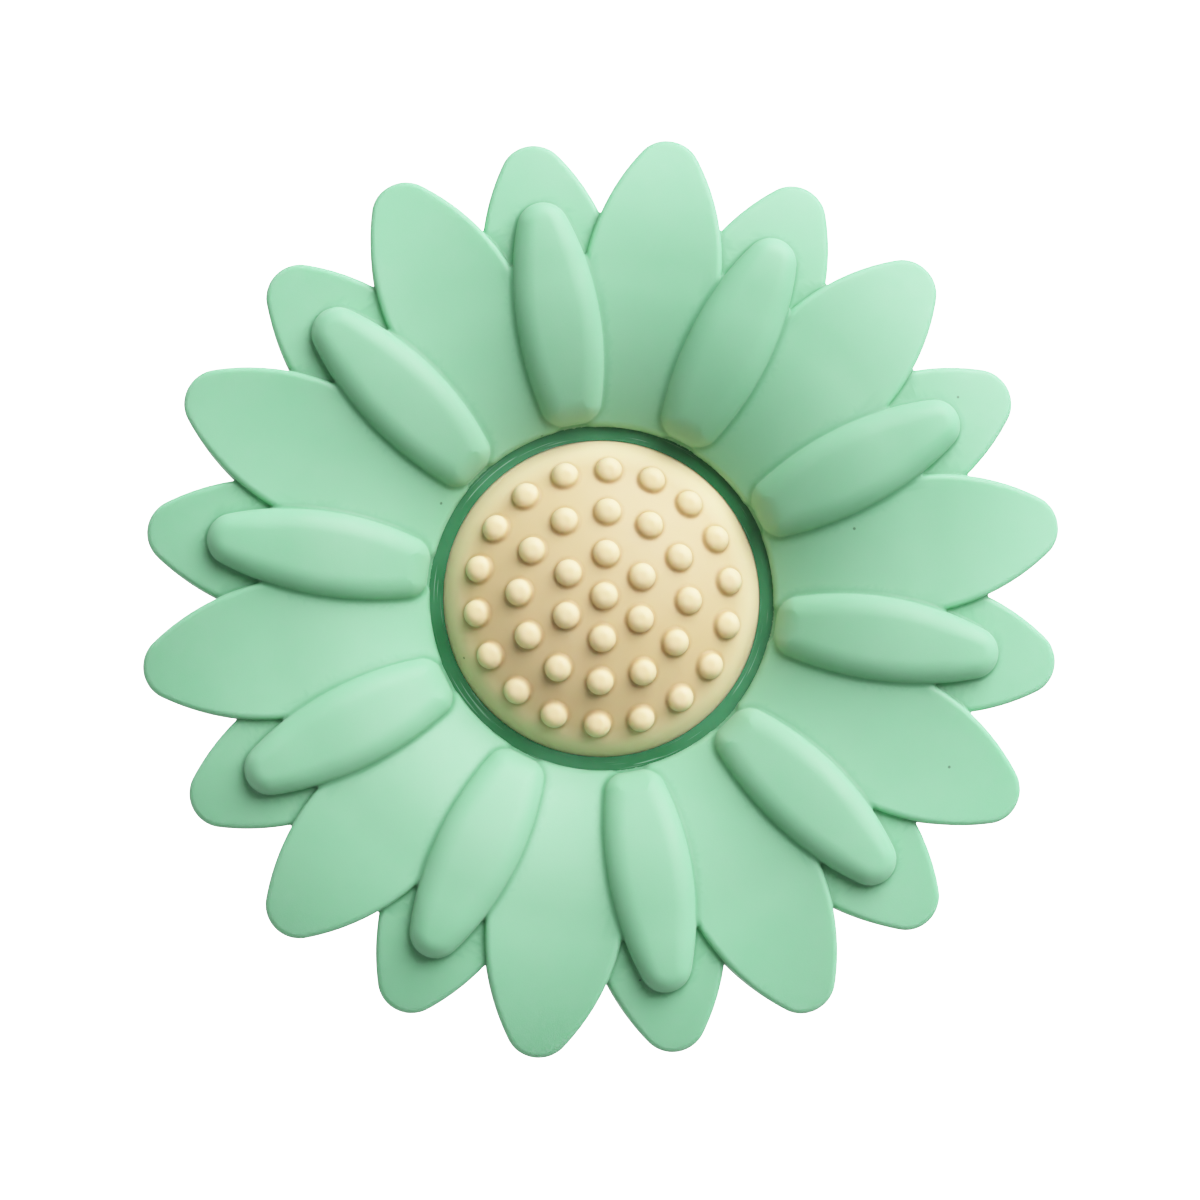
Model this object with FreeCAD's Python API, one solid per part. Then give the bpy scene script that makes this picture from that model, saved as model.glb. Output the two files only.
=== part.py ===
import FreeCAD, Part

import math
import os
from collections import namedtuple

# A flower-shaped baby teether, lying on its back with its face up along +Z.
# One silicone moulding carries three tiers of ten petals. A welded two-part capsule
# is gripped in its middle, with a soft pad plugged into each side of the capsule and
# loose rattle beads in the pockets inside it. Sizes are in millimetres.
# The origin is the middle of the resting face. +X runs along a front petal.

PETALS = 10
PETAL_PITCH = 360.0 / PETALS

# A tier is a ring of petals. In plan, a petal has a round tip and two flank arcs that
# meet at widest_r, where it is half_width wide each side. In section, the top is one arc
# through ring_z at inner_r, crest_z at crest_r and tip_z at tip_r. The underside is level
# at floor_z as far as FLAT_BACK_R, and then curves up to tip_floor_z at tip_r.
Tier = namedtuple(
    "Tier",
    "first_angle tip_r widest_r half_width outer_flank inner_flank inner_r"
    " ring_z crest_r crest_z tip_z floor_z tip_floor_z edge_round",
)

MIDDLE_TIER = Tier(
    first_angle=PETAL_PITCH / 2,
    tip_r=55.0,
    widest_r=37.5,
    half_width=8.15,
    outer_flank=28.0,
    inner_flank=45.0,
    inner_r=19.0,
    ring_z=9.8,
    crest_r=40.5,
    crest_z=16.8,
    tip_z=13.8,
    floor_z=1.2,
    tip_floor_z=7.2,
    edge_round=1.0,
)
BACK_TIER = MIDDLE_TIER._replace(
    first_angle=0.0,
    tip_r=54.5,
    widest_r=37.0,
    ring_z=8.7,
    crest_z=15.7,
    tip_z=12.85,
    floor_z=0.0,
    tip_floor_z=6.2,
)
FRONT_TIER = Tier(
    first_angle=0.0,
    tip_r=47.6,
    widest_r=33.0,
    half_width=4.85,
    outer_flank=36.0,
    inner_flank=38.0,
    inner_r=20.6,
    ring_z=12.6,
    crest_r=40.5,
    crest_z=18.6,
    tip_z=17.9,
    floor_z=6.0,
    tip_floor_z=6.0,
    edge_round=1.2,
)
BLUNT_END_ROUND = 1.2
FLAT_BACK_R = 32.0

# The hub of the moulding, and the mouths that show the capsule.
HUB_R = 28.0
HUB_TOP_Z = 9.5
MOUTH_R = 20.5

# The capsule: two shells, welded at the parting plane with a tongue in a rebate.
CAPSULE_R = 24.0
CAPSULE_BOTTOM_Z = 2.0
CAPSULE_TOP_Z = 9.8
PARTING_Z = (CAPSULE_BOTTOM_Z + CAPSULE_TOP_Z) / 2
PLATE = 1.5
RIM_ROUND = 0.6
SHELL_INNER_R = 22.4
TONGUE_R = 23.2
TONGUE_HEIGHT = 0.8
WELD_GAP = 0.05
RACE_WALL_R = 16.2
RACE_WALL = 1.4
PAD_RECESS = 0.5

# The pads and the barbed stems that hold them in the shells.
PAD_R = 18.9
PAD_EDGE_Z = 10.8
PAD_TOP_Z = 17.0
PAD_EDGE_ROUND = 2.0
NUB_R = 1.6
NUB_HEIGHT = 1.1
NUB_ROUND = 0.9
NUB_PITCH = 5.0
NUB_ROOT_DEPTH = 1.5
NUB_RINGS = 3
REAR_PAD_FACE_Z = 0.9
REAR_PAD_ROUND = 0.7
RIDGE_R = 0.5
STEM_R = 3.0
BARB_R = 3.8
BARB_TIP_R = 2.4
BARB_HEIGHT = 1.7

# The rattle: one bead in each pocket between two ribs.
BEADS = 5
BEAD_PITCH = 360.0 / BEADS
BEAD_R = 2.2
BEAD_TRACK_R = 19.3
BEAD_CLEARANCE = 0.15
RIB = 1.6

UP = FreeCAD.Vector(0, 0, 1)
ORIGIN = FreeCAD.Vector(0, 0, 0)
FRONT = -1
REAR = 1


def flat(r, w):
    """A point in plan, r along a petal and w across it."""
    return FreeCAD.Vector(r, w, 0)


def side(r, z):
    """A point in the section plane, r from the axis and z up."""
    return FreeCAD.Vector(r, 0, z)


def line(start, end):
    return Part.LineSegment(start, end).toShape()


def arc(start, middle, end):
    return Part.Arc(start, middle, end).toShape()


def revolve(edges):
    """Turns a closed section about Z into a solid. Its seam lies on the far side, at -X."""
    face = Part.Face(Part.Wire(Part.sortEdges(edges)[0]))
    solid = face.revolve(ORIGIN, UP, 360)
    return turned(solid, 180)


def disc(radius, z_from, z_to):
    bottom = min(z_from, z_to)
    return Part.makeCylinder(radius, abs(z_to - z_from), side(0, bottom))


def tube(inner_r, outer_r, z_from, z_to):
    return disc(outer_r, z_from, z_to).cut(disc(inner_r, z_from, z_to))


def turned(shape, angle):
    copy = shape.copy()
    copy.rotate(ORIGIN, UP, angle)
    return copy


def circle_at(shape, radius, z):
    """The circular edges of a shape that have this radius and height."""
    found = []
    for edge in shape.Edges:
        if edge.Degenerated or not isinstance(edge.Curve, Part.Circle):
            continue
        if abs(edge.Curve.Radius - radius) < 0.001 and abs(edge.Curve.Center.z - z) < 0.001:
            found.append(edge)
    return found


# ---- petals ----


def flank_width(tier, flank, r):
    """Half width of a petal at radius r, on a flank arc of the given radius."""
    return tier.half_width - flank + math.sqrt(flank**2 - (r - tier.widest_r) ** 2)


def petal_outline(tier):
    """Plan outline of one petal along +X. The tip arc meets both outer flanks smoothly."""
    reach = tier.tip_r - tier.widest_r
    drop = tier.outer_flank - tier.half_width
    tip = (tier.outer_flank**2 - drop**2 - reach**2) / (2 * (tier.outer_flank - reach))
    lean = math.atan2(drop, tier.tip_r - tip - tier.widest_r)
    join_r = tier.tip_r - tip + tip * math.cos(lean)
    join_w = tip * math.sin(lean)
    outer_r = (join_r + tier.widest_r) / 2
    outer_w = flank_width(tier, tier.outer_flank, outer_r)
    inner_r = (tier.inner_r + tier.widest_r) / 2
    inner_w = flank_width(tier, tier.inner_flank, inner_r)
    end_w = flank_width(tier, tier.inner_flank, tier.inner_r)
    edges = [
        arc(flat(join_r, -join_w), flat(tier.tip_r, 0), flat(join_r, join_w)),
        line(flat(tier.inner_r, end_w), flat(tier.inner_r, -end_w)),
    ]
    for side_sign in (1, -1):
        join = flat(join_r, side_sign * join_w)
        widest = flat(tier.widest_r, side_sign * tier.half_width)
        end = flat(tier.inner_r, side_sign * end_w)
        edges.append(arc(join, flat(outer_r, side_sign * outer_w), widest))
        edges.append(arc(widest, flat(inner_r, side_sign * inner_w), end))
    return Part.Wire(Part.sortEdges(edges)[0])


def top_height(tier):
    """Height of a tier's top as a function of radius: one arc through three points."""
    start = side(tier.inner_r, tier.ring_z)
    crest = side(tier.crest_r, tier.crest_z)
    tip = side(tier.tip_r, tier.tip_z)
    circle = arc(start, crest, tip).Curve
    centre = circle.Center
    return lambda r: centre.z + math.sqrt(circle.Radius**2 - (r - centre.x) ** 2)


def floor_height(tier):
    """Height of a tier's underside past FLAT_BACK_R, where it leaves the level smoothly."""
    run = tier.tip_r - FLAT_BACK_R
    rise = tier.tip_floor_z - tier.floor_z
    radius = (run**2 + rise**2) / (2 * rise)
    return lambda r: tier.floor_z + radius - math.sqrt(radius**2 - (r - FLAT_BACK_R) ** 2)


def arc_on(height, start_r, end_r):
    middle_r = (start_r + end_r) / 2
    points = [side(r, height(r)) for r in (start_r, middle_r, end_r)]
    return arc(*points)


def tier_envelope(tier):
    """Ring-shaped solid that gives a tier its top and its underside."""
    inside_r = tier.inner_r - 1.0
    outside_r = tier.tip_r + 1.0
    top = top_height(tier)
    outer_floor_z = tier.floor_z
    flat_to_r = outside_r
    edges = [arc_on(top, inside_r, outside_r)]
    if tier.tip_floor_z > tier.floor_z:
        floor = floor_height(tier)
        outer_floor_z = floor(outside_r)
        flat_to_r = FLAT_BACK_R
        edges.append(arc_on(floor, FLAT_BACK_R, outside_r))
    edges.append(line(side(inside_r, tier.floor_z), side(flat_to_r, tier.floor_z)))
    edges.append(line(side(inside_r, tier.floor_z), side(inside_r, top(inside_r))))
    edges.append(line(side(outside_r, outer_floor_z), side(outside_r, top(outside_r))))
    return revolve(edges)


def is_upright(edge):
    start = edge.Vertexes[0].Point
    end = edge.Vertexes[-1].Point
    return math.hypot(start.x - end.x, start.y - end.y) < 0.001


def is_wall(face):
    """True for a face that stands upright all over."""
    low_u, high_u, low_v, high_v = face.ParameterRange
    return abs(face.normalAt((low_u + high_u) / 2, (low_v + high_v) / 2).z) < 0.001


def rim_edges(solid, above_z):
    """Edges higher than above_z where an upright wall meets the top or the underside."""
    found = []
    for edge in solid.Edges:
        walls = [f for f in solid.Faces if is_wall(f) and any(edge.isSame(e) for e in f.Edges)]
        if len(walls) == 1 and edge.BoundBox.ZMin > above_z:
            found.append(edge)
    return found


def petal(tier):
    """One petal along +X with its edges rounded."""
    plan = Part.Face(petal_outline(tier)).extrude(UP * 30)
    blunt = tier.inner_r > MOUTH_R
    if blunt:
        corners = [e for e in plan.Edges if is_upright(e) and e.BoundBox.XMax < tier.inner_r + 0.01]
        plan = plan.makeFillet(BLUNT_END_ROUND, corners)
    solid = plan.common(tier_envelope(tier))
    buried_z = tier.floor_z + 0.01 if blunt else tier.floor_z - 1.0
    return solid.makeFillet(tier.edge_round, rim_edges(solid, buried_z))


# ---- pieces ----


def make_flower_body():
    """The silicone moulding: a hub with three tiers of petals and a pocket for the capsule."""
    hub = tube(MOUTH_R - 2, HUB_R, 0, HUB_TOP_Z)
    petals = []
    for tier in (BACK_TIER, MIDDLE_TIER, FRONT_TIER):
        shape = petal(tier)
        petals += [turned(shape, tier.first_angle + PETAL_PITCH * k) for k in range(PETALS)]
    pocket = disc(CAPSULE_R, CAPSULE_BOTTOM_Z, CAPSULE_TOP_Z)
    mouths = disc(MOUTH_R, -1, FRONT_TIER.crest_z + 1)
    return hub.multiFuse(petals).cut(pocket.fuse(mouths)).removeSplitter()


def make_shell(face_z, inward):
    """Half of the capsule. inward is the sign of Z from its outer face to its inside."""
    plate_z = face_z + inward * PLATE
    shell = disc(CAPSULE_R, face_z, PARTING_Z).cut(disc(SHELL_INNER_R, plate_z, PARTING_Z))
    shell = shell.makeFillet(RIM_ROUND, circle_at(shell, CAPSULE_R, face_z))
    race = tube(RACE_WALL_R - RACE_WALL, RACE_WALL_R, plate_z, PARTING_Z)
    shell = shell.fuse([race] + make_ribs(plate_z))
    shell = shell.cut(disc(PAD_R, face_z, face_z + inward * PAD_RECESS))
    return shell.cut(disc(STEM_R, face_z, plate_z))


def make_ribs(plate_z):
    """Ribs that part the bead pockets, from a shell's plate to the parting plane."""
    height = abs(PARTING_Z - plate_z)
    start_r = RACE_WALL_R - RACE_WALL / 2
    corner = FreeCAD.Vector(start_r, -RIB / 2, min(plate_z, PARTING_Z))
    rib = Part.makeBox(SHELL_INNER_R - start_r, RIB, height, corner)
    rib = rib.common(disc(SHELL_INNER_R, plate_z, PARTING_Z))
    return [turned(rib, BEAD_PITCH * (k + 0.5)) for k in range(BEADS)]


def make_front_shell():
    """The upper half, whose rim shows round the front pad, with the weld's tongue."""
    tongue = tube(SHELL_INNER_R, TONGUE_R - WELD_GAP, PARTING_Z - TONGUE_HEIGHT, PARTING_Z)
    return make_shell(CAPSULE_TOP_Z, FRONT).fuse(tongue).removeSplitter()


def make_rear_shell():
    """The lower half, with the rebate that takes the tongue."""
    rebate = tube(SHELL_INNER_R, TONGUE_R, PARTING_Z - TONGUE_HEIGHT - WELD_GAP, PARTING_Z)
    return make_shell(CAPSULE_BOTTOM_Z, REAR).cut(rebate).removeSplitter()


def make_plug(face_z, inward):
    """The stem that passes a shell's plate, with a barb that springs open behind it."""
    recess_z = face_z + inward * PAD_RECESS
    plate_z = face_z + inward * PLATE
    stem = disc(STEM_R, recess_z, plate_z)
    barb = Part.makeCone(BARB_R, BARB_TIP_R, BARB_HEIGHT, side(0, plate_z), UP * inward)
    return stem.fuse(barb)


def dome_height(r):
    """Height of the front pad's dome at radius r."""
    rise = PAD_TOP_Z - PAD_EDGE_Z
    radius = (PAD_R**2 + rise**2) / (2 * rise)
    return PAD_TOP_Z - radius + math.sqrt(radius**2 - r**2)


def make_nub(r, angle):
    """A button with a rounded top that stands on the pad."""
    root_z = dome_height(r) - NUB_ROOT_DEPTH
    top_z = dome_height(r) + NUB_HEIGHT
    nub = disc(NUB_R, root_z, top_z)
    nub = nub.makeFillet(NUB_ROUND, circle_at(nub, NUB_R, top_z))
    nub.translate(side(r, 0))
    return turned(nub, angle)


def make_front_pad():
    """The domed chewing pad: nubs in rings round a middle one, and its stem."""
    base_z = CAPSULE_TOP_Z - PAD_RECESS
    dome = revolve(
        [
            line(side(0, base_z), side(PAD_R, base_z)),
            line(side(PAD_R, base_z), side(PAD_R, PAD_EDGE_Z)),
            arc_on(dome_height, PAD_R, 0),
            line(side(0, PAD_TOP_Z), side(0, base_z)),
        ]
    )
    dome = dome.makeFillet(PAD_EDGE_ROUND, circle_at(dome, PAD_R, PAD_EDGE_Z))
    nubs = [make_nub(0, 0)]
    for ring in range(1, NUB_RINGS + 1):
        count = 6 * ring
        nubs += [make_nub(NUB_PITCH * ring, 360.0 / count * k) for k in range(count)]
    return dome.multiFuse(nubs + [make_plug(CAPSULE_TOP_Z, FRONT)])


def make_rear_pad():
    """The flat pad on the back, with a raised ridge under each ring of nubs, and its stem."""
    pad = disc(PAD_R, REAR_PAD_FACE_Z, CAPSULE_BOTTOM_Z + PAD_RECESS)
    pad = pad.makeFillet(REAR_PAD_ROUND, circle_at(pad, PAD_R, REAR_PAD_FACE_Z))
    rings = range(1, NUB_RINGS + 1)
    ridges = [Part.makeTorus(NUB_PITCH * ring, RIDGE_R, side(0, REAR_PAD_FACE_Z)) for ring in rings]
    return pad.multiFuse(ridges + [make_plug(CAPSULE_BOTTOM_Z, REAR)])


def make_bead(index):
    """A rattle bead at rest in the middle of its pocket."""
    centre_z = CAPSULE_BOTTOM_Z + PLATE + BEAD_CLEARANCE + BEAD_R
    return turned(Part.makeSphere(BEAD_R, side(BEAD_TRACK_R, centre_z)), BEAD_PITCH * index)


def save(name, shape):
    """Writes one solid as parts/NAME.step."""
    if len(shape.Solids) != 1 or not shape.isValid():
        raise ValueError(name + " isn't one valid solid")
    shape.Solids[0].exportStep("parts/" + name + ".step")


def main():
    os.makedirs("parts", exist_ok=True)
    save("flower_body", make_flower_body())
    save("front_shell", make_front_shell())
    save("rear_shell", make_rear_shell())
    save("front_pad", make_front_pad())
    save("rear_pad", make_rear_pad())
    for index in range(BEADS):
        save("bead_" + str(index + 1), make_bead(index))


main()
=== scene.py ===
import math
from collections import namedtuple

import bpy
import numpy as np
from mathutils import Matrix, Vector


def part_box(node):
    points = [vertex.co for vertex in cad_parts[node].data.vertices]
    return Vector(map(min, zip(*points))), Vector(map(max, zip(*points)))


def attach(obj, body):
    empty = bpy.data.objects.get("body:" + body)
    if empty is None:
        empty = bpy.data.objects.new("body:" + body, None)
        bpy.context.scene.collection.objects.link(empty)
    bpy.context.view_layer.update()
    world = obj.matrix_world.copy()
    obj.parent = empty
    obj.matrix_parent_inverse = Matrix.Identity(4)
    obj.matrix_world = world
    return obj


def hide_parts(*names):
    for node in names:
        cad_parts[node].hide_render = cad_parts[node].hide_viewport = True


# The looks of a flower-shaped baby teether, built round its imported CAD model. The silicone
# pieces are meshed from distance fields, so that every edge and every inside corner has the
# radius that moulded silicone shows. The hard shells and the beads are the CAD pieces.

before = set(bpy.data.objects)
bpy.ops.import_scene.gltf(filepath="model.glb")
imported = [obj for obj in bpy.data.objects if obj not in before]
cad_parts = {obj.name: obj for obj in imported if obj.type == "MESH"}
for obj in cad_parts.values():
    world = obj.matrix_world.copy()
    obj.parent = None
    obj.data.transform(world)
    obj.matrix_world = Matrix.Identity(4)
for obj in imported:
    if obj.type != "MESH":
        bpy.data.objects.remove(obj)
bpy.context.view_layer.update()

MM = 0.001
PETALS = 10
PITCH = 2 * math.pi / PETALS

# ---- sizes ----

FLOWER_LOW, FLOWER_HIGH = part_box("flower_body")
PAD_LOW, PAD_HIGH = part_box("front_pad")
REAR_LOW, REAR_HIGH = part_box("rear_pad")
_, SHELL_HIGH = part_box("front_shell")
REAR_SHELL_LOW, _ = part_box("rear_shell")

# The front petals are highest. The middle tier is MIDDLE_DROP lower, and the back tier
# is BACK_DROP lower again.
CREST_Z = FLOWER_HIGH[2]
MIDDLE_DROP = 2.3 * MM
BACK_DROP = 0.7 * MM
MIDDLE_TIP_R = FLOWER_HIGH[1]
BACK_TIP_R = FLOWER_HIGH[0]

# A tier of petals. In plan, a petal has a round tip and, on each side, two flank arcs
# that meet at widest_r. Its top is crown lower at the flanks than along its middle. Its
# rim has a rounding that is edge high and spread times as wide, but round at the tip.
# The underside is level at floor_z as far as FLAT_BACK_R, and curves up to tip_floor_z
# at the tip.
Tier = namedtuple(
    "Tier",
    "first_angle tip_r widest_r half_width outer_flank inner_flank inner_r"
    " crest_z outer_arch crown floor_z tip_floor_z edge spread",
)

MIDDLE_CREST_Z = CREST_Z - MIDDLE_DROP
MIDDLE_TIER = Tier(
    first_angle=PITCH / 2,
    tip_r=MIDDLE_TIP_R,
    widest_r=37.5 * MM,
    half_width=8.15 * MM,
    outer_flank=28 * MM,
    inner_flank=45 * MM,
    inner_r=19 * MM,
    crest_z=MIDDLE_CREST_Z,
    outer_arch=41 * MM,
    crown=-0.4 * MM,
    floor_z=1.2 * MM,
    tip_floor_z=7.2 * MM,
    edge=0.55 * MM,
    spread=1.4,
)
BACK_TIER = MIDDLE_TIER._replace(
    first_angle=0.0,
    tip_r=BACK_TIP_R,
    widest_r=37 * MM,
    crest_z=MIDDLE_CREST_Z - BACK_DROP,
    crown=0.0,
    floor_z=0.0,
    tip_floor_z=6.2 * MM,
)
FRONT_TIER = Tier(
    first_angle=0.0,
    tip_r=47.2 * MM,
    widest_r=33 * MM,
    half_width=5 * MM,
    outer_flank=36 * MM,
    inner_flank=38 * MM,
    inner_r=20.9 * MM,
    crest_z=CREST_Z,
    outer_arch=28 * MM,
    crown=0.35 * MM,
    floor_z=6 * MM,
    tip_floor_z=6 * MM,
    edge=1.8 * MM,
    spread=1.5,
)

# Every tier arches over a level crest between two radii, with an arc on each side of it.
CREST_FROM_R = 37.5 * MM
CREST_TO_R = 40.5 * MM
INNER_ARCH = 30 * MM
BLUNT_END_ROUND = 1.7 * MM
FLAT_BACK_R = 32 * MM
UNDERSIDE_ROUND = 2.4 * MM

# Fillets in the creases between tiers, and how far the painted shade of a crease reaches.
CREASE = 0.25 * MM
FRONT_CREASE = 0.35 * MM
CREASE_SHADE = 0.55 * MM

# The disc that joins the petals, and the mouth and the pocket that hold the capsule.
HUB_R = 28 * MM
HUB_TOP_Z = 9.5 * MM
MOUTH_R = 20.5 * MM
LIP_ROUND = 0.6 * MM
POCKET_GAP = 0.05 * MM

NUB_R = 1.6 * MM
NUB_HEIGHT = 1.25 * MM
NUB_ROUND = 1.2 * MM
NUB_ROOT = 0.3 * MM
NUB_DEPTH = 1.5 * MM
# The rings of nubs are NUB_PITCH apart, and each has six more nubs than the one inside it.
NUB_PITCH = 5 * MM
NUB_RINGS = 3
NUBS_IN_FIRST_RING = 6
PAD_R = REAR_HIGH[0]
PAD_TOP_Z = PAD_HIGH[2] - NUB_HEIGHT
PAD_RIM_HEIGHT = 1 * MM
PAD_SHOULDER = 0.75 * MM
PAD_EDGE_ROUND = 3 * MM
REAR_PAD_ROUND = 0.7 * MM
RIDGE_R = 0.5 * MM
RIDGE_ROOT = 0.3 * MM

# A pad lies in a recess of its shell. Its stem goes through the plate to a barb behind it.
PAD_RECESS = 0.5 * MM
PLATE = 1.5 * MM
STEM_R = 2.95 * MM
STEM_OVERLAP = 0.1 * MM
BARB_R = 3.8 * MM
BARB_TIP_R = 2.4 * MM
BARB_HEIGHT = 1.7 * MM
BARB_ROUND = 0.2 * MM

# Grid steps for meshing, and the most triangles in a piece.
FLOWER_STEP = 0.32 * MM
PAD_STEP = 0.2 * MM
MOST_FACES = 198000


# ---- distance fields: negative inside, in metres ----


def both(a, b, radius):
    """Where two shapes overlap. The edge that they share is rounded."""
    corner = np.hypot(np.maximum(a + radius, 0), np.maximum(b + radius, 0))
    return np.minimum(-radius, np.maximum(a, b)) + corner


def either(a, b, radius):
    """Two shapes joined. The inside corner between them gets a fillet."""
    corner = np.hypot(np.maximum(radius - a, 0), np.maximum(radius - b, 0))
    return np.maximum(radius, np.minimum(a, b)) - corner


def disc(r, z, radius, z_low, z_high, edge=0.0):
    middle = (z_low + z_high) / 2
    return both(r - radius, np.abs(z - middle) - (z_high - z_low) / 2, edge)


def fold(x, y, first_angle, count):
    """Turns every point into the sector of the nearest of count equal rays."""
    pitch = 2 * math.pi / count
    r = np.hypot(x, y)
    angle = np.arctan2(y, x) - first_angle
    angle = np.abs(angle - pitch * np.round(angle / pitch))
    return r * np.cos(angle), r * np.sin(angle)


def petal_outline(tier, along, across):
    """Distance in plan from a petal's edge."""
    reach = tier.tip_r - tier.widest_r
    drop = tier.outer_flank - tier.half_width
    tip = (tier.outer_flank**2 - drop**2 - reach**2) / (2 * (tier.outer_flank - reach))
    tip_centre = tier.tip_r - tip
    lean = math.atan2(drop, tip_centre - tier.widest_r)
    inner_drop = tier.inner_flank - tier.half_width
    past_widest = along - tier.widest_r
    at_tip = np.hypot(along - tip_centre, across) - tip
    outer = np.hypot(past_widest, across + drop) - tier.outer_flank
    inner = np.hypot(past_widest, across + inner_drop) - tier.inner_flank
    in_tip = (along - tip_centre) * math.sin(lean) > across * math.cos(lean)
    return np.where(past_widest < 0, inner, np.where(in_tip, at_tip, outer))


def petal_top(tier, r, across, z):
    """Distance from the arched top: an arc on each side of a level crest."""
    height = z + tier.crown * (across / tier.half_width) ** 2 - tier.crest_z
    inner = np.hypot(r - CREST_FROM_R, height + INNER_ARCH) - INNER_ARCH
    outer = np.hypot(r - CREST_TO_R, height + tier.outer_arch) - tier.outer_arch
    return np.where(r < CREST_FROM_R, inner, np.where(r > CREST_TO_R, outer, height))


def petal_floor(tier, r, z):
    level = tier.floor_z - z
    rise = tier.tip_floor_z - tier.floor_z
    if rise <= 0:
        return level
    run = tier.tip_r - FLAT_BACK_R
    radius = (run**2 + rise**2) / (2 * rise)
    curved = np.hypot(r - FLAT_BACK_R, z - tier.floor_z - radius) - radius
    return np.where(r < FLAT_BACK_R, level, curved)


def petals(tier, x, y, z):
    along, across = fold(x, y, tier.first_angle, PETALS)
    r = np.hypot(x, y)
    wall = petal_outline(tier, along, across)
    if tier.inner_r > MOUTH_R:
        wall = both(wall, tier.inner_r - along, BLUNT_END_ROUND)
    taper = np.clip((r - CREST_TO_R) / (tier.tip_r - CREST_TO_R), 0, 1)
    spread = tier.spread + (1 - tier.spread) * taper
    upper = both(wall / spread, petal_top(tier, r, across, z), tier.edge)
    return both(upper, petal_floor(tier, r, z), UNDERSIDE_ROUND)


def flower_parts(x, y, z):
    """The back petals with the hub, then the middle and the front petals."""
    hub = disc(np.hypot(x, y), z, HUB_R, 0, HUB_TOP_Z)
    back = either(petals(BACK_TIER, x, y, z), hub, CREASE)
    return back, petals(MIDDLE_TIER, x, y, z), petals(FRONT_TIER, x, y, z)


def flower_field(x, y, z):
    """The moulding: a hub, three tiers of petals, and the pocket for the capsule."""
    r = np.hypot(x, y)
    back, middle, front = flower_parts(x, y, z)
    body = either(either(back, middle, CREASE), front, FRONT_CREASE)
    body = both(body, MOUTH_R - r, LIP_ROUND)
    bottom = REAR_SHELL_LOW[2] - POCKET_GAP
    pocket = disc(r, z, SHELL_HIGH[0] + POCKET_GAP, bottom, SHELL_HIGH[2] + POCKET_GAP)
    return np.maximum(np.maximum(body, -pocket), -z)


def plug_field(r, z, face_z, inward):
    """The stem through a shell's plate and the barb behind it. inward is a sign of Z."""
    behind = face_z + inward * PLATE
    recess = face_z + inward * PAD_RECESS / 2
    stem = disc(r, z, STEM_R, *sorted((recess, behind + inward * STEM_OVERLAP)))
    depth = inward * (z - behind)
    flare = (BARB_R - BARB_TIP_R) / BARB_HEIGHT
    side = (r - BARB_R + flare * depth) / math.hypot(1, flare)
    barb = both(side, np.maximum(-depth, depth - BARB_HEIGHT), BARB_ROUND)
    return np.minimum(stem, barb)


def dome_arch():
    """Radius of the sphere that gives the front pad its dome."""
    rise = PAD_TOP_Z - SHELL_HIGH[2] - PAD_RIM_HEIGHT
    return (PAD_R**2 + rise**2) / (2 * rise)


def nub_field(along, across, ring_r, z):
    """An upright round button on the dome, with a large radius round its top."""
    arch = dome_arch()
    root_z = PAD_TOP_Z - arch + math.sqrt(arch**2 - ring_r**2)
    side = np.hypot(along - ring_r, across) - NUB_R
    top = np.maximum(z - root_z - NUB_HEIGHT, root_z - NUB_DEPTH - z)
    return both(side, top, NUB_ROUND)


def front_pad_parts(x, y, z):
    """The dome, and the rings of nubs on it."""
    r = np.hypot(x, y)
    arch = dome_arch()
    dome = np.hypot(r, z - PAD_TOP_Z + arch) - arch
    pad = both(r - PAD_R - PAD_SHOULDER, dome, PAD_EDGE_ROUND)
    pad = np.maximum(pad, np.maximum(r - PAD_R, SHELL_HIGH[2] - PAD_RECESS - z))
    nubs = nub_field(r, 0, 0, z)
    for ring in range(1, NUB_RINGS + 1):
        along, across = fold(x, y, 0, NUBS_IN_FIRST_RING * ring)
        nubs = np.minimum(nubs, nub_field(along, across, ring * NUB_PITCH, z))
    return pad, nubs


def front_pad_field(x, y, z):
    """The domed pad with its nubs and its plug."""
    pad = either(*front_pad_parts(x, y, z), NUB_ROOT)
    return np.minimum(pad, plug_field(np.hypot(x, y), z, SHELL_HIGH[2], -1))


def rear_pad_field(x, y, z):
    """The flat pad on the back with its ridges, and its plug."""
    r = np.hypot(x, y)
    face_z = REAR_LOW[2] + RIDGE_R
    top_z = REAR_SHELL_LOW[2] + PAD_RECESS
    pad = both(r - PAD_R, face_z - z, REAR_PAD_ROUND)
    pad = np.maximum(pad, z - top_z)
    for ring in range(1, NUB_RINGS + 1):
        ridge = np.hypot(r - ring * NUB_PITCH, z - face_z) - RIDGE_R
        pad = either(pad, ridge, RIDGE_ROOT)
    return np.minimum(pad, plug_field(r, z, REAR_SHELL_LOW[2], 1))


# ---- meshing ----


def gradient(field, points):
    """Unit normals of a field and its slope, at each point."""
    reach = 0.01 * MM
    slope = np.empty_like(points)
    for axis in range(3):
        offset = np.zeros(3)
        offset[axis] = reach
        ahead = field(*(points + offset).T)
        behind = field(*(points - offset).T)
        slope[:, axis] = (ahead - behind) / (2 * reach)
    length = np.maximum(np.linalg.norm(slope, axis=1), 1e-6)
    return slope / length[:, None], length


def settle(field, points, step, rounds):
    """Moves points along the field's slope until they lie on its surface."""
    for _ in range(rounds):
        normals, length = gradient(field, points)
        move = np.clip(field(*points.T) / length, -step / 2, step / 2)
        points = points - normals * move[:, None]
    return points


CORNERS = [(i, j, k) for i in (0, 1) for j in (0, 1) for k in (0, 1)]


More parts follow.
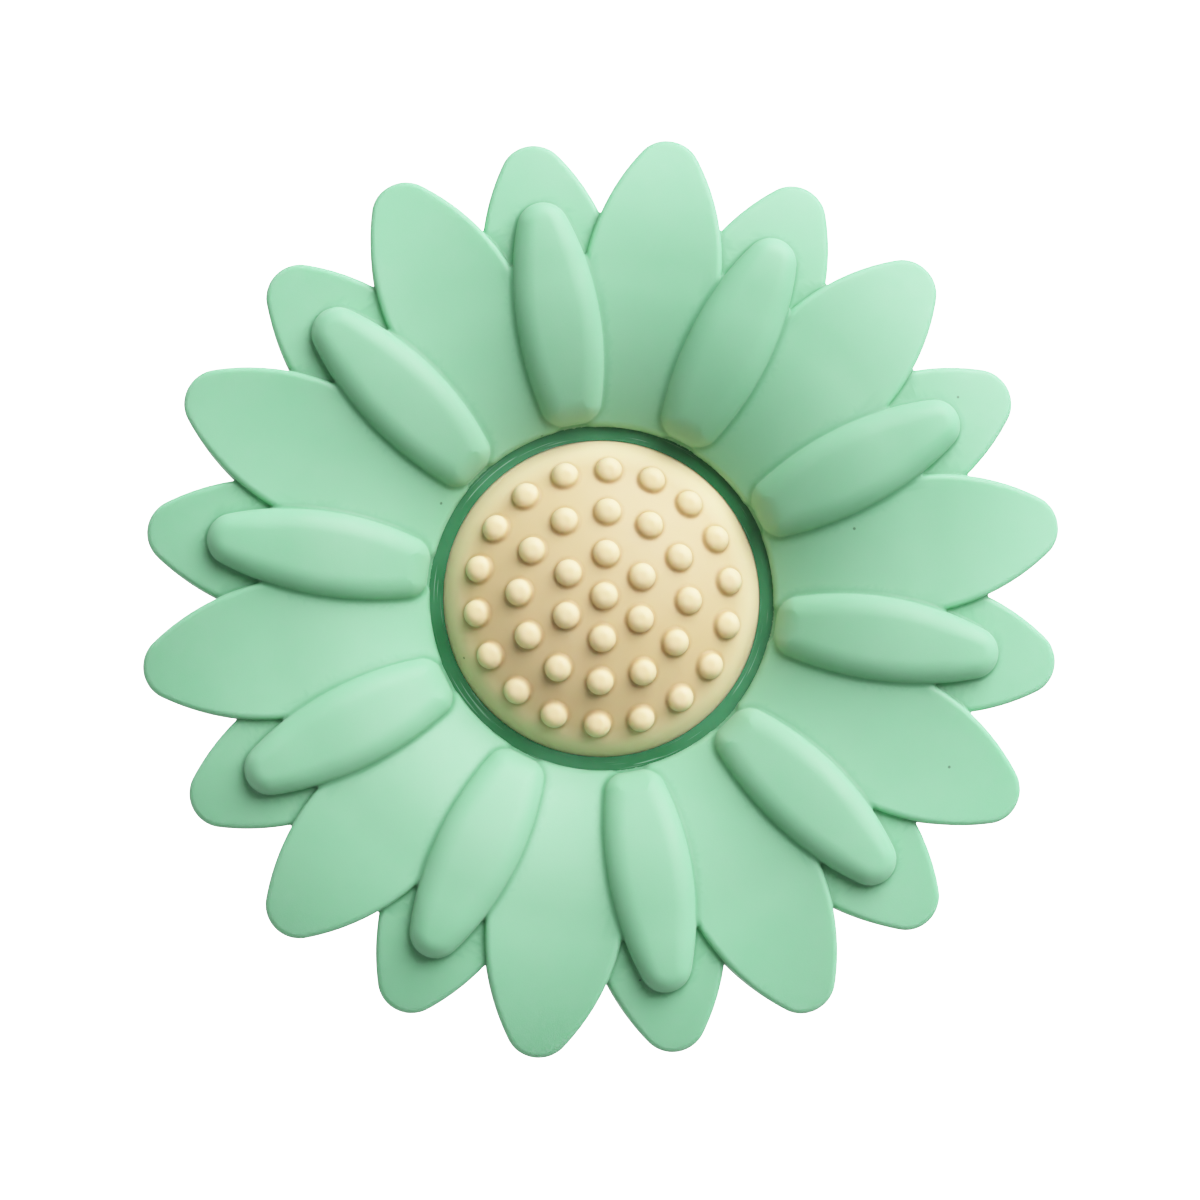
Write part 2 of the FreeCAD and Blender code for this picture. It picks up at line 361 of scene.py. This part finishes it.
def crossed_cells(inside):
    """The grid cells that have corners on both sides of the surface."""
    size = [n - 1 for n in inside.shape]
    count = np.zeros(size, np.int8)
    for i, j, k in CORNERS:
        count += inside[i : i + size[0], j : j + size[1], k : k + size[2]]
    return np.argwhere((count > 0) & (count < len(CORNERS)))


def crossing_middles(values, cells):
    """In each cell, the mean of the points where the surface crosses the cell's edges."""
    total = np.zeros((len(cells), 3))
    crossings = np.zeros(len(cells))
    for start in CORNERS:
        for axis in range(3):
            if start[axis]:
                continue
            end = list(start)
            end[axis] = 1
            a = values[tuple((cells + start).T)]
            b = values[tuple((cells + end).T)]
            crossed = (a < 0) != (b < 0)
            share = np.where(crossed, a / np.where(crossed, a - b, 1), 0)
            total += crossed[:, None] * np.array(start, float)
            total[:, axis] += share
            crossings += crossed
    return cells + total / crossings[:, None]


def quads_between(inside, cells):
    """A quad, facing outwards, round each grid edge that the surface crosses."""
    number = np.full([n - 1 for n in inside.shape], -1, np.int32)
    number[tuple(cells.T)] = np.arange(len(cells))
    quads = []
    for axis in range(3):
        side_a, side_b = (axis + 1) % 3, (axis + 2) % 3
        low_end = np.take(inside, range(inside.shape[axis] - 1), axis)
        high_end = np.take(inside, range(1, inside.shape[axis]), axis)
        edges = np.argwhere(low_end != high_end)
        leaving = low_end[tuple(edges.T)]
        around = []
        for back_a, back_b in ((0, 0), (1, 0), (1, 1), (0, 1)):
            cell = edges.copy()
            cell[:, side_a] -= back_a
            cell[:, side_b] -= back_b
            around.append(number[tuple(cell.T)])
        around = np.stack(around, axis=1)
        quads.append(np.where(leaving[:, None], around, around[:, ::-1]))
    return np.concatenate(quads)


def surface_net(field, low, high, step):
    """One vertex in each grid cell that the surface crosses, and quads between them."""
    margin = 2 * step
    axes = [np.arange(a - margin, b + margin, step) for a, b in zip(low, high)]
    values = field(*np.meshgrid(*axes, indexing="ij", sparse=True))
    inside = values < 0
    cells = crossed_cells(inside)
    origin = np.array([axis[0] for axis in axes])
    points = origin + step * crossing_middles(values, cells)
    return points, quads_between(inside, cells)


def relax(points, quads, field, step):
    """Evens out the quads: moves points half way to the mean of their neighbours."""
    total = np.zeros_like(points)
    count = np.zeros(len(points))
    for a in range(4):
        for b in ((a + 1) % 4, (a + 3) % 4):
            np.add.at(total, quads[:, a], points[quads[:, b]])
            np.add.at(count, quads[:, a], 1)
    normals, _ = gradient(field, points)
    shift = total / count[:, None] - points
    shift -= normals * np.sum(shift * normals, axis=1)[:, None]
    return settle(field, points + 0.5 * shift, step, 1)


def mesh_object(name, points, faces):
    mesh = bpy.data.meshes.new(name)
    mesh.from_pydata(points.tolist(), [], faces.tolist())
    piece = bpy.data.objects.new(name, mesh)
    bpy.context.collection.objects.link(piece)
    return piece


def thin_out(piece, most_faces):
    """Joins faces where the surface is nearly flat, down to most_faces triangles."""
    triangles = sum(len(p.vertices) - 2 for p in piece.data.polygons)
    if triangles <= most_faces:
        return
    modifier = piece.modifiers.new("thin", "DECIMATE")
    modifier.ratio = most_faces / triangles
    modifier.use_collapse_triangulate = True
    view = bpy.context.evaluated_depsgraph_get()
    thinned = bpy.data.meshes.new_from_object(piece.evaluated_get(view))
    piece.modifiers.clear()
    piece.data = thinned


def vertex_places(mesh):
    places = np.empty(len(mesh.vertices) * 3)
    mesh.vertices.foreach_get("co", places)
    return places.reshape(-1, 3)


def moulded(name, field, low, high, step):
    """A mesh of a field's surface, with the field's own normals."""
    points, quads = surface_net(field, low, high, step)
    points = settle(field, points, step, 2)
    points = relax(points, quads, field, step)
    piece = mesh_object(name, points, quads)
    thin_out(piece, MOST_FACES)
    mesh = piece.data
    points = settle(field, vertex_places(mesh), step, 2)
    mesh.vertices.foreach_set("co", points.ravel())
    mesh.update()
    mesh.shade_smooth()
    normals, _ = gradient(field, points)
    mesh.normals_split_custom_set_from_vertices(normals.tolist())
    return piece


def mark_crease_shade(piece, parts):
    """Stores 1 on vertices where two of a piece's parts meet, down to 0 further away, for the
    painted shade in the creases.
    """
    mesh = piece.data
    distances = np.sort(np.stack(parts(*vertex_places(mesh).T)), axis=0)
    second_nearest = distances[1]
    depth = np.clip(1 - np.abs(second_nearest) / CREASE_SHADE, 0, 1)
    mesh.attributes.new("crease", "FLOAT", "POINT").data.foreach_set("value", depth)


# ---- materials ----

# Colours are linear. The mint and the cream change from their first colour to others: painted
# light at the petal tips, on the pad's rim and on the nubs, and painted shade in the creases.
WHITE = (1, 1, 1, 1)
MINT = (0.19, 0.5, 0.275, 1)
MINT_PAINTED_LIGHT_AT_TIPS = (0.21, 0.57, 0.31, 1)
MINT_PAINTED_CREASE_SHADE = (0.07, 0.3, 0.13, 1)
MINT_SPECK = (0.04, 0.07, 0.05, 1)
CREAM = (0.64, 0.465, 0.222, 1)
CREAM_PAINTED_LIGHT_AT_RIM = (0.78, 0.63, 0.335, 1)
CREAM_PAINTED_LIGHT_ON_NUBS = (0.85, 0.635, 0.335, 1)
CREAM_PAINTED_CREASE_SHADE = (0.5, 0.31, 0.12, 1)
CREAM_SPECK = (0.2, 0.13, 0.06, 1)
GREEN = (0.025, 0.18, 0.06, 1)
GREEN_CLOUD = (0.06, 0.26, 0.115, 1)
# A painted highlight colour, for glints along the ring.
GREEN_PAINTED_GLINT = (0.3, 0.6, 0.4, 1)
BEAD = (0.7605, 0.6724, 0.4125, 1)
BEAD_SWIRL = (0.8714, 0.7991, 0.5583, 1)

# The radii between which the painted light at the tips and at the rim comes in, and the
# heights over which the nubs are painted paler.
TIP_CHANGE = 34 * MM, 52 * MM
RIM_CHANGE = 15.6 * MM, 17.6 * MM
NUB_CHANGE = 0.2 * MM, 0.8 * MM

# The most of the other colour that each kind of patch takes.
CREASE_SHADE_SHARE = 0.9
CLOUD_SHARE = 0.03
SPECK_SHARE = 0.75
GLINT_SHARE = 0.8

# The painted highlight streaks on the ring are roughly this many times longer than they are
# wide.
GLINT_LENGTH = 45


def start_material(name):
    material = bpy.data.materials.new(name)
    material.use_nodes = True
    tree = material.node_tree
    return material, tree, tree.nodes["Principled BSDF"]


def add(tree, kind):
    return tree.nodes.new(kind)


def put(node, values):
    """Sets a node's inputs. Each value is a number, a colour or another node's socket."""
    for name, value in values.items():
        if isinstance(value, bpy.types.NodeSocket):
            node.id_data.links.new(value, node.inputs[name])
        else:
            node.inputs[name].default_value = value


def object_place(tree):
    """The shaded point in its piece's own frame, in metres."""
    return add(tree, "ShaderNodeTexCoord").outputs["Object"]


def noise(tree, place, scale, detail):
    node = add(tree, "ShaderNodeTexNoise")
    put(node, {"Vector": place, "Scale": scale, "Detail": detail})
    return node.outputs["Fac"]


def remap(tree, value, from_range, to_range):
    node = add(tree, "ShaderNodeMapRange")
    put(node, {"Value": value, "From Min": from_range[0], "From Max": from_range[1]})
    put(node, {"To Min": to_range[0], "To Max": to_range[1]})
    return node.outputs["Result"]


def calculate(tree, kind, first, second=None):
    """A Math node on one or two values. Each is a socket or a number."""
    node = add(tree, "ShaderNodeMath")
    node.operation = kind
    put(node, {0: first} if second is None else {0: first, 1: second})
    return node.outputs["Value"]


def blend_colours(tree, factor, first, second):
    node = add(tree, "ShaderNodeMix")
    node.data_type = "RGBA"
    # A Mix node has hidden sockets of the same names, so its colours are found by type.
    colours = [k for k, socket in enumerate(node.inputs) if socket.type == "RGBA"]
    put(node, {0: factor, colours[0]: first, colours[1]: second})
    return next(socket for socket in node.outputs if socket.type == "RGBA")


def bump(tree, shader, heights):
    """Stacks bump maps. Each is a height from 0 to 1, its depth and its strength."""
    below = None
    for height, depth, strength in heights:
        node = add(tree, "ShaderNodeBump")
        put(node, {"Strength": strength, "Distance": depth, "Height": height})
        if below:
            put(node, {"Normal": below})
        below = node.outputs["Normal"]
    put(shader, {"Normal": below})


def radius_and_height(tree, place):
    """Distance from the flower's axis, and Z, in metres."""
    split = add(tree, "ShaderNodeSeparateXYZ")
    put(split, {"Vector": place})
    flat = add(tree, "ShaderNodeCombineXYZ")
    put(flat, {axis: split.outputs[axis] for axis in "XY"})
    length = add(tree, "ShaderNodeVectorMath")
    length.operation = "LENGTH"
    put(length, {"Vector": flat.outputs["Vector"]})
    return length.outputs["Value"], split.outputs["Z"]


def painted_crease_shade(tree, _):
    """Painted shade: the inside corners are darkened, as little light reaches them."""
    node = add(tree, "ShaderNodeAttribute")
    node.attribute_name = "crease"
    return calculate(tree, "MULTIPLY", node.outputs["Fac"], CREASE_SHADE_SHARE)


def painted_light_at_tips(tree, place):
    """Painted light: the thin tips of the petals are painted paler."""
    r, _ = radius_and_height(tree, place)
    return remap(tree, r, TIP_CHANGE, (0, 1))


def painted_light_at_rim(tree, place):
    """Painted light: the thin rim of the pad is painted paler and less warm."""
    r, _ = radius_and_height(tree, place)
    return remap(tree, r, RIM_CHANGE, (0, 1))


def painted_light_on_nubs(tree, place):
    """Painted light and shade: the nubs are painted paler than the dome between them."""
    r, z = radius_and_height(tree, place)
    arch = dome_arch()
    drop = calculate(tree, "SUBTRACT", arch**2, calculate(tree, "POWER", r, 2))
    dome = calculate(tree, "ADD", calculate(tree, "SQRT", drop), PAD_TOP_Z - arch)
    above = calculate(tree, "SUBTRACT", z, dome)
    return remap(tree, above, NUB_CHANGE, (0, 1))


def specks(tree, place):
    """Specks of dust, far apart."""
    cells = add(tree, "ShaderNodeTexVoronoi")
    put(cells, {"Vector": place, "Scale": 130})
    return remap(tree, cells.outputs["Distance"], (0.018, 0.028), (SPECK_SHARE, 0))


def silicone(name, colour, changes, speck):
    """Matt moulded silicone. Changes are pairs of a mask and the colour where it is 1."""
    material, tree, shader = start_material(name)
    place = object_place(tree)
    for mask, other in changes:
        colour = blend_colours(tree, mask(tree, place), colour, other)
    cloud = remap(tree, noise(tree, place, scale=60, detail=3), (0.35, 0.65), (0, CLOUD_SHARE))
    colour = blend_colours(tree, cloud, colour, WHITE)
    colour = blend_colours(tree, specks(tree, place), colour, speck)
    rough = remap(tree, noise(tree, place, scale=900, detail=3), (0.3, 0.7), (0.48, 0.56))
    put(shader, {"Base Color": colour, "Roughness": rough, "IOR": 1.41})
    put(shader, {"Sheen Weight": 0.08, "Sheen Roughness": 0.4})
    put(shader, {"Subsurface Weight": 0.6, "Subsurface Scale": 2 * MM})
    put(shader, {"Subsurface Radius": (0.7, 1.0, 0.8)})
    waves = noise(tree, place, scale=800, detail=3)
    grain = noise(tree, place, scale=5200, detail=2)
    bump(tree, shader, [(waves, 0.02 * MM, 0.3), (grain, 0.02 * MM, 0.35)])
    return material


def mint_silicone():
    # Painted light at the tips, and painted shade in the creases.
    changes = (painted_light_at_tips, MINT_PAINTED_LIGHT_AT_TIPS), (painted_crease_shade, MINT_PAINTED_CREASE_SHADE)
    return silicone("mint_silicone", MINT, changes, MINT_SPECK)


def cream_silicone():
    # Painted light on the rim and on the nubs, and painted shade in the creases.
    changes = (
        (painted_light_at_rim, CREAM_PAINTED_LIGHT_AT_RIM),
        (painted_light_on_nubs, CREAM_PAINTED_LIGHT_ON_NUBS),
        (painted_crease_shade, CREAM_PAINTED_CREASE_SHADE),
    )
    return silicone("cream_silicone", CREAM, changes, CREAM_SPECK)


def painted_glint_streaks(tree, place):
    """Painted highlights: short thin streaks along the ring, from noise that is fine across it
    and long round it.
    """
    r, z = radius_and_height(tree, place)
    across = calculate(tree, "MULTIPLY", calculate(tree, "ADD", r, z), GLINT_LENGTH)
    split = add(tree, "ShaderNodeSeparateXYZ")
    put(split, {"Vector": place})
    squeezed = add(tree, "ShaderNodeCombineXYZ")
    put(squeezed, {"X": split.outputs["X"], "Y": split.outputs["Y"], "Z": across})
    pattern = noise(tree, squeezed.outputs["Vector"], scale=110, detail=2)
    return remap(tree, pattern, (0.62, 0.7), (0, GLINT_SHARE))


def clear_green():
    """Glossy see-through plastic, with cloudy patches and painted highlight streaks."""
    material, tree, shader = start_material("clear_green_plastic")
    place = object_place(tree)
    cloud = remap(tree, noise(tree, place, scale=70, detail=3), (0.38, 0.62), (0, 1))
    colour = blend_colours(tree, cloud, GREEN, GREEN_CLOUD)
    # Painted highlights: pale streaks along the ring.
    colour = blend_colours(tree, painted_glint_streaks(tree, place), colour, GREEN_PAINTED_GLINT)
    rough = remap(tree, noise(tree, place, scale=1500, detail=2), (0.3, 0.7), (0.06, 0.16))
    put(shader, {"Base Color": colour, "Roughness": rough, "IOR": 1.49})
    put(shader, {"Transmission Weight": 0.3, "Subsurface Weight": 0.35})
    put(shader, {"Subsurface Scale": 3 * MM, "Subsurface Radius": (0.1, 1.0, 0.4)})
    bump(tree, shader, [(noise(tree, place, scale=700, detail=2), 0.02 * MM, 0.3)])
    return material


def bead_plastic():
    """Smooth opaque plastic with faint swirls."""
    material, tree, shader = start_material("bead_plastic")
    place = object_place(tree)
    swirl = remap(tree, noise(tree, place, scale=500, detail=4), (0.35, 0.65), (0, 1))
    rough = remap(tree, noise(tree, place, scale=2500, detail=2), (0.3, 0.7), (0.22, 0.32))
    colour = blend_colours(tree, swirl, BEAD, BEAD_SWIRL)
    put(shader, {"Base Color": colour, "Roughness": rough})
    bump(tree, shader, [(noise(tree, place, scale=1800, detail=2), 0.01 * MM, 0.3)])
    return material


def wear(piece, material):
    piece.data.materials.clear()
    piece.data.materials.append(material)


# ---- stage ----

IMAGE_SIZE = 1200
WIDTH_IN_IMAGE = 915
SENSOR = 36 * MM

# How far the flower is turned anticlockwise in the picture. A side in the picture, less
# TURN, is the same side in the flower's own frame.
TURN = math.radians(27.3)
CAMERA_SIDE = math.radians(223) - TURN
CAMERA_TILT = math.radians(3.6)
CAMERA_DISTANCE = 0.55
CAMERA_NEAR = 10 * MM
# The height of the point that the camera looks at.
OUTLINE_Z = 5.5 * MM

LIGHT_SIDE = math.radians(54) - TURN
LIGHT_TILT = math.radians(53)
LIGHT_DISTANCE = 2.4
LIGHT_SIZE = 2.6
LIGHT_POWER = 229
# Strength of the light from above the horizon and from below it. It changes between
# the two heights in HORIZON, where 1 is straight up.
SKY = 0.28
GROUND = 1.2
HORIZON = -0.05, 0.05

FLOOR_HALF_WIDTH = 1.5
FLOOR_GAP = 0.1 * MM
FLOOR_GLOW = 6
# The brightness that the response curve ends at, and the number of its points.
BRIGHTEST = 5
CURVE_POINTS = 14


def direction(side, tilt):
    """Unit vector that leans from straight up towards an angle in plan."""
    lean = math.sin(tilt)
    return Vector((lean * math.cos(side), lean * math.sin(side), math.cos(tilt)))


def make_camera():
    """Straight above, leaning a few degrees, with the picture turned about its axis."""
    data = bpy.data.cameras.new("camera")
    camera = bpy.data.objects.new("camera", data)
    bpy.context.collection.objects.link(camera)
    back = direction(CAMERA_SIDE, CAMERA_TILT)
    centre = Vector((0, 0, OUTLINE_Z))
    right = Vector((math.cos(TURN), -math.sin(TURN), 0))
    right = (right - back * right.dot(back)).normalized()
    up = back.cross(right)
    turned = Matrix((right, up, back)).transposed().to_4x4()
    camera.matrix_world = Matrix.Translation(centre + back * CAMERA_DISTANCE) @ turned
    width = 2 * FLOWER_HIGH[1]
    data.sensor_width = SENSOR / MM
    data.lens = data.sensor_width * CAMERA_DISTANCE / width * WIDTH_IN_IMAGE / IMAGE_SIZE
    data.clip_start = CAMERA_NEAR
    bpy.context.scene.camera = camera


def make_light():
    data = bpy.data.lights.new("softbox", "AREA")
    data.shape = "DISK"
    data.size = LIGHT_SIZE
    data.energy = LIGHT_POWER
    light = bpy.data.objects.new("softbox", data)
    bpy.context.collection.objects.link(light)
    towards = direction(LIGHT_SIDE, LIGHT_TILT)
    light.location = towards * LIGHT_DISTANCE
    light.rotation_euler = towards.to_track_quat("Z", "Y").to_euler()


def make_sky():
    """Dim above, and bright below, as a white table in the same light would be."""
    world = bpy.data.worlds.new("sky")
    bpy.context.scene.world = world
    world.use_nodes = True
    tree = world.node_tree
    split = add(tree, "ShaderNodeSeparateXYZ")
    put(split, {"Vector": add(tree, "ShaderNodeTexCoord").outputs["Generated"]})
    strength = remap(tree, split.outputs["Z"], HORIZON, (GROUND, SKY))
    put(tree.nodes["Background"], {"Color": WHITE, "Strength": strength})


def floor_white():
    """Glows evenly on its front, and can't be seen from behind."""
    material = bpy.data.materials.new("white_floor")
    material.use_nodes = True
    tree = material.node_tree
    tree.nodes.remove(tree.nodes["Principled BSDF"])
    glow = add(tree, "ShaderNodeEmission")
    put(glow, {"Strength": FLOOR_GLOW})
    clear = add(tree, "ShaderNodeBsdfTransparent")
    side = add(tree, "ShaderNodeNewGeometry")
    choice = add(tree, "ShaderNodeMixShader")
    put(choice, {0: side.outputs["Backfacing"], 1: glow.outputs[0], 2: clear.outputs[0]})
    put(tree.nodes["Material Output"], {"Surface": choice.outputs["Shader"]})
    return material


def make_floor():
    """A plain white floor that only the camera sees, and only from above."""
    corners = np.array([(-1, -1), (1, -1), (1, 1), (-1, 1)]) * FLOOR_HALF_WIDTH
    points = np.array([(x, y, -FLOOR_GAP) for x, y in corners])
    floor = mesh_object("floor", points, np.array([[0, 1, 2, 3]]))
    wear(floor, floor_white())
    floor.visible_diffuse = False
    floor.visible_glossy = False
    floor.visible_transmission = False
    floor.visible_shadow = False


def make_look():
    """A response like a camera's: each channel levels off softly as it gets bright."""
    view = bpy.context.scene.view_settings
    view.view_transform = "Standard"
    view.use_curve_mapping = True
    mapping = view.curve_mapping
    mapping.white_level = (BRIGHTEST, BRIGHTEST, BRIGHTEST)
    all_channels = mapping.curves[3]
    for step in range(1, CURVE_POINTS):
        place = (step / CURVE_POINTS) ** 2
        all_channels.points.new(place, 1 - math.exp(-place * BRIGHTEST))
    mapping.update()


# ---- assembly ----


def make_silicone_pieces():
    """The moulding and the two pads, in place of the CAD's."""
    flower = moulded("flower", flower_field, FLOWER_LOW, FLOWER_HIGH, FLOWER_STEP)
    front_pad = moulded("nubbed_pad", front_pad_field, PAD_LOW, PAD_HIGH, PAD_STEP)
    rear_pad = moulded("ridged_pad", rear_pad_field, REAR_LOW, REAR_HIGH, PAD_STEP)
    # These marks carry the painted shade in the creases.
    mark_crease_shade(flower, flower_parts)
    mark_crease_shade(front_pad, front_pad_parts)
    mint, cream = mint_silicone(), cream_silicone()
    for piece, node, slot, material in (
        (flower, "flower_body", "mint_silicone", mint),
        (front_pad, "front_pad", "cream_silicone", cream),
        (rear_pad, "rear_pad", "cream_silicone", cream),
    ):
        wear(piece, material)
        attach(piece, "root")
        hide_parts(node)


def dress_hard_pieces():
    """Materials for the CAD's own shells and beads."""
    green, hard = clear_green(), bead_plastic()
    for name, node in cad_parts.items():
        if name.endswith("shell"):
            wear(node, green)
        if name.startswith("bead"):
            wear(node, hard)


def main():
    make_silicone_pieces()
    dress_hard_pieces()
    make_camera()
    make_light()
    make_sky()
    make_floor()
    make_look()


main()
